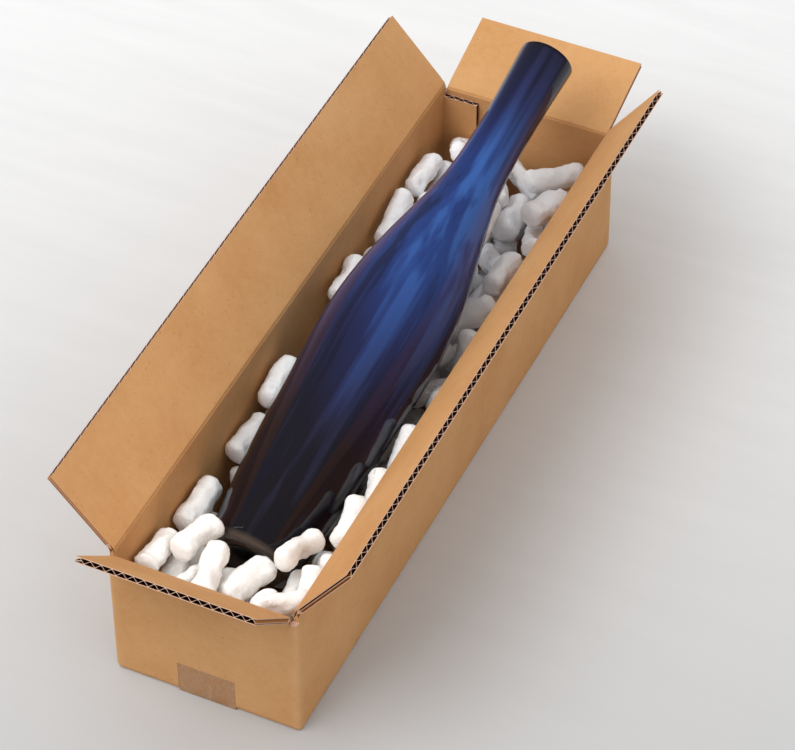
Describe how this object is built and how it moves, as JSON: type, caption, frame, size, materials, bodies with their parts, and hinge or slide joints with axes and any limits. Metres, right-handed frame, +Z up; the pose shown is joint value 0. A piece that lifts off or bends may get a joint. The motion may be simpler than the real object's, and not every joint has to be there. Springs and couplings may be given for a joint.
{
  "type": "bottle shipping box",
  "caption": "Long corrugated carton with four hinged top flaps, holding a glass bottle in loose foam fill.",
  "frame": {"origin": "centre of the carton's underside, on the surface it stands on", "axes": "+Z up, +Y along the length towards the end with the bottle's mouth, +X to the right"},
  "size_m": [0.2134, 0.6208, 0.1855],
  "materials": {
    "kraft_board": "matt brown kraft liner",
    "clear_tape": "clear packing tape",
    "blue_glass": "polished",
    "white_foam": "matt foam"
  },
  "bodies": {
    "root": {"carton_body": "kraft_board", "bottom_tape": "clear_tape", "bottle": "blue_glass", "loose_fill_front": "white_foam", "loose_fill_middle": "white_foam", "loose_fill_rear": "white_foam"},
    "flap_front": {"flap_front": "kraft_board"},
    "flap_rear": {"flap_rear": "kraft_board"},
    "flap_left": {"flap_left": "kraft_board"},
    "flap_right": {"flap_right": "kraft_board"}
  },
  "joints": [
    {"name": "flap_front_fold", "type": "hinge", "parent": "root", "child": "flap_front", "pos_m": [0, -0.256, 0.1055], "axis": [1, 0, 0], "range_deg": [-135.3, 84.7]},
    {"name": "flap_rear_fold", "type": "hinge", "parent": "root", "child": "flap_rear", "pos_m": [0, 0.256, 0.1055], "axis": [-1, 0, 0], "range_deg": [-73.5, 56.5]},
    {"name": "flap_left_fold", "type": "hinge", "parent": "root", "child": "flap_left", "pos_m": [-0.0655, 0, 0.11], "axis": [0, -1, 0], "range_deg": [-56, 89]},
    {"name": "flap_right_fold", "type": "hinge", "parent": "root", "child": "flap_right", "pos_m": [0.0655, 0, 0.11], "axis": [0, 1, 0], "range_deg": [-45.6, 94.4]}
  ]
}
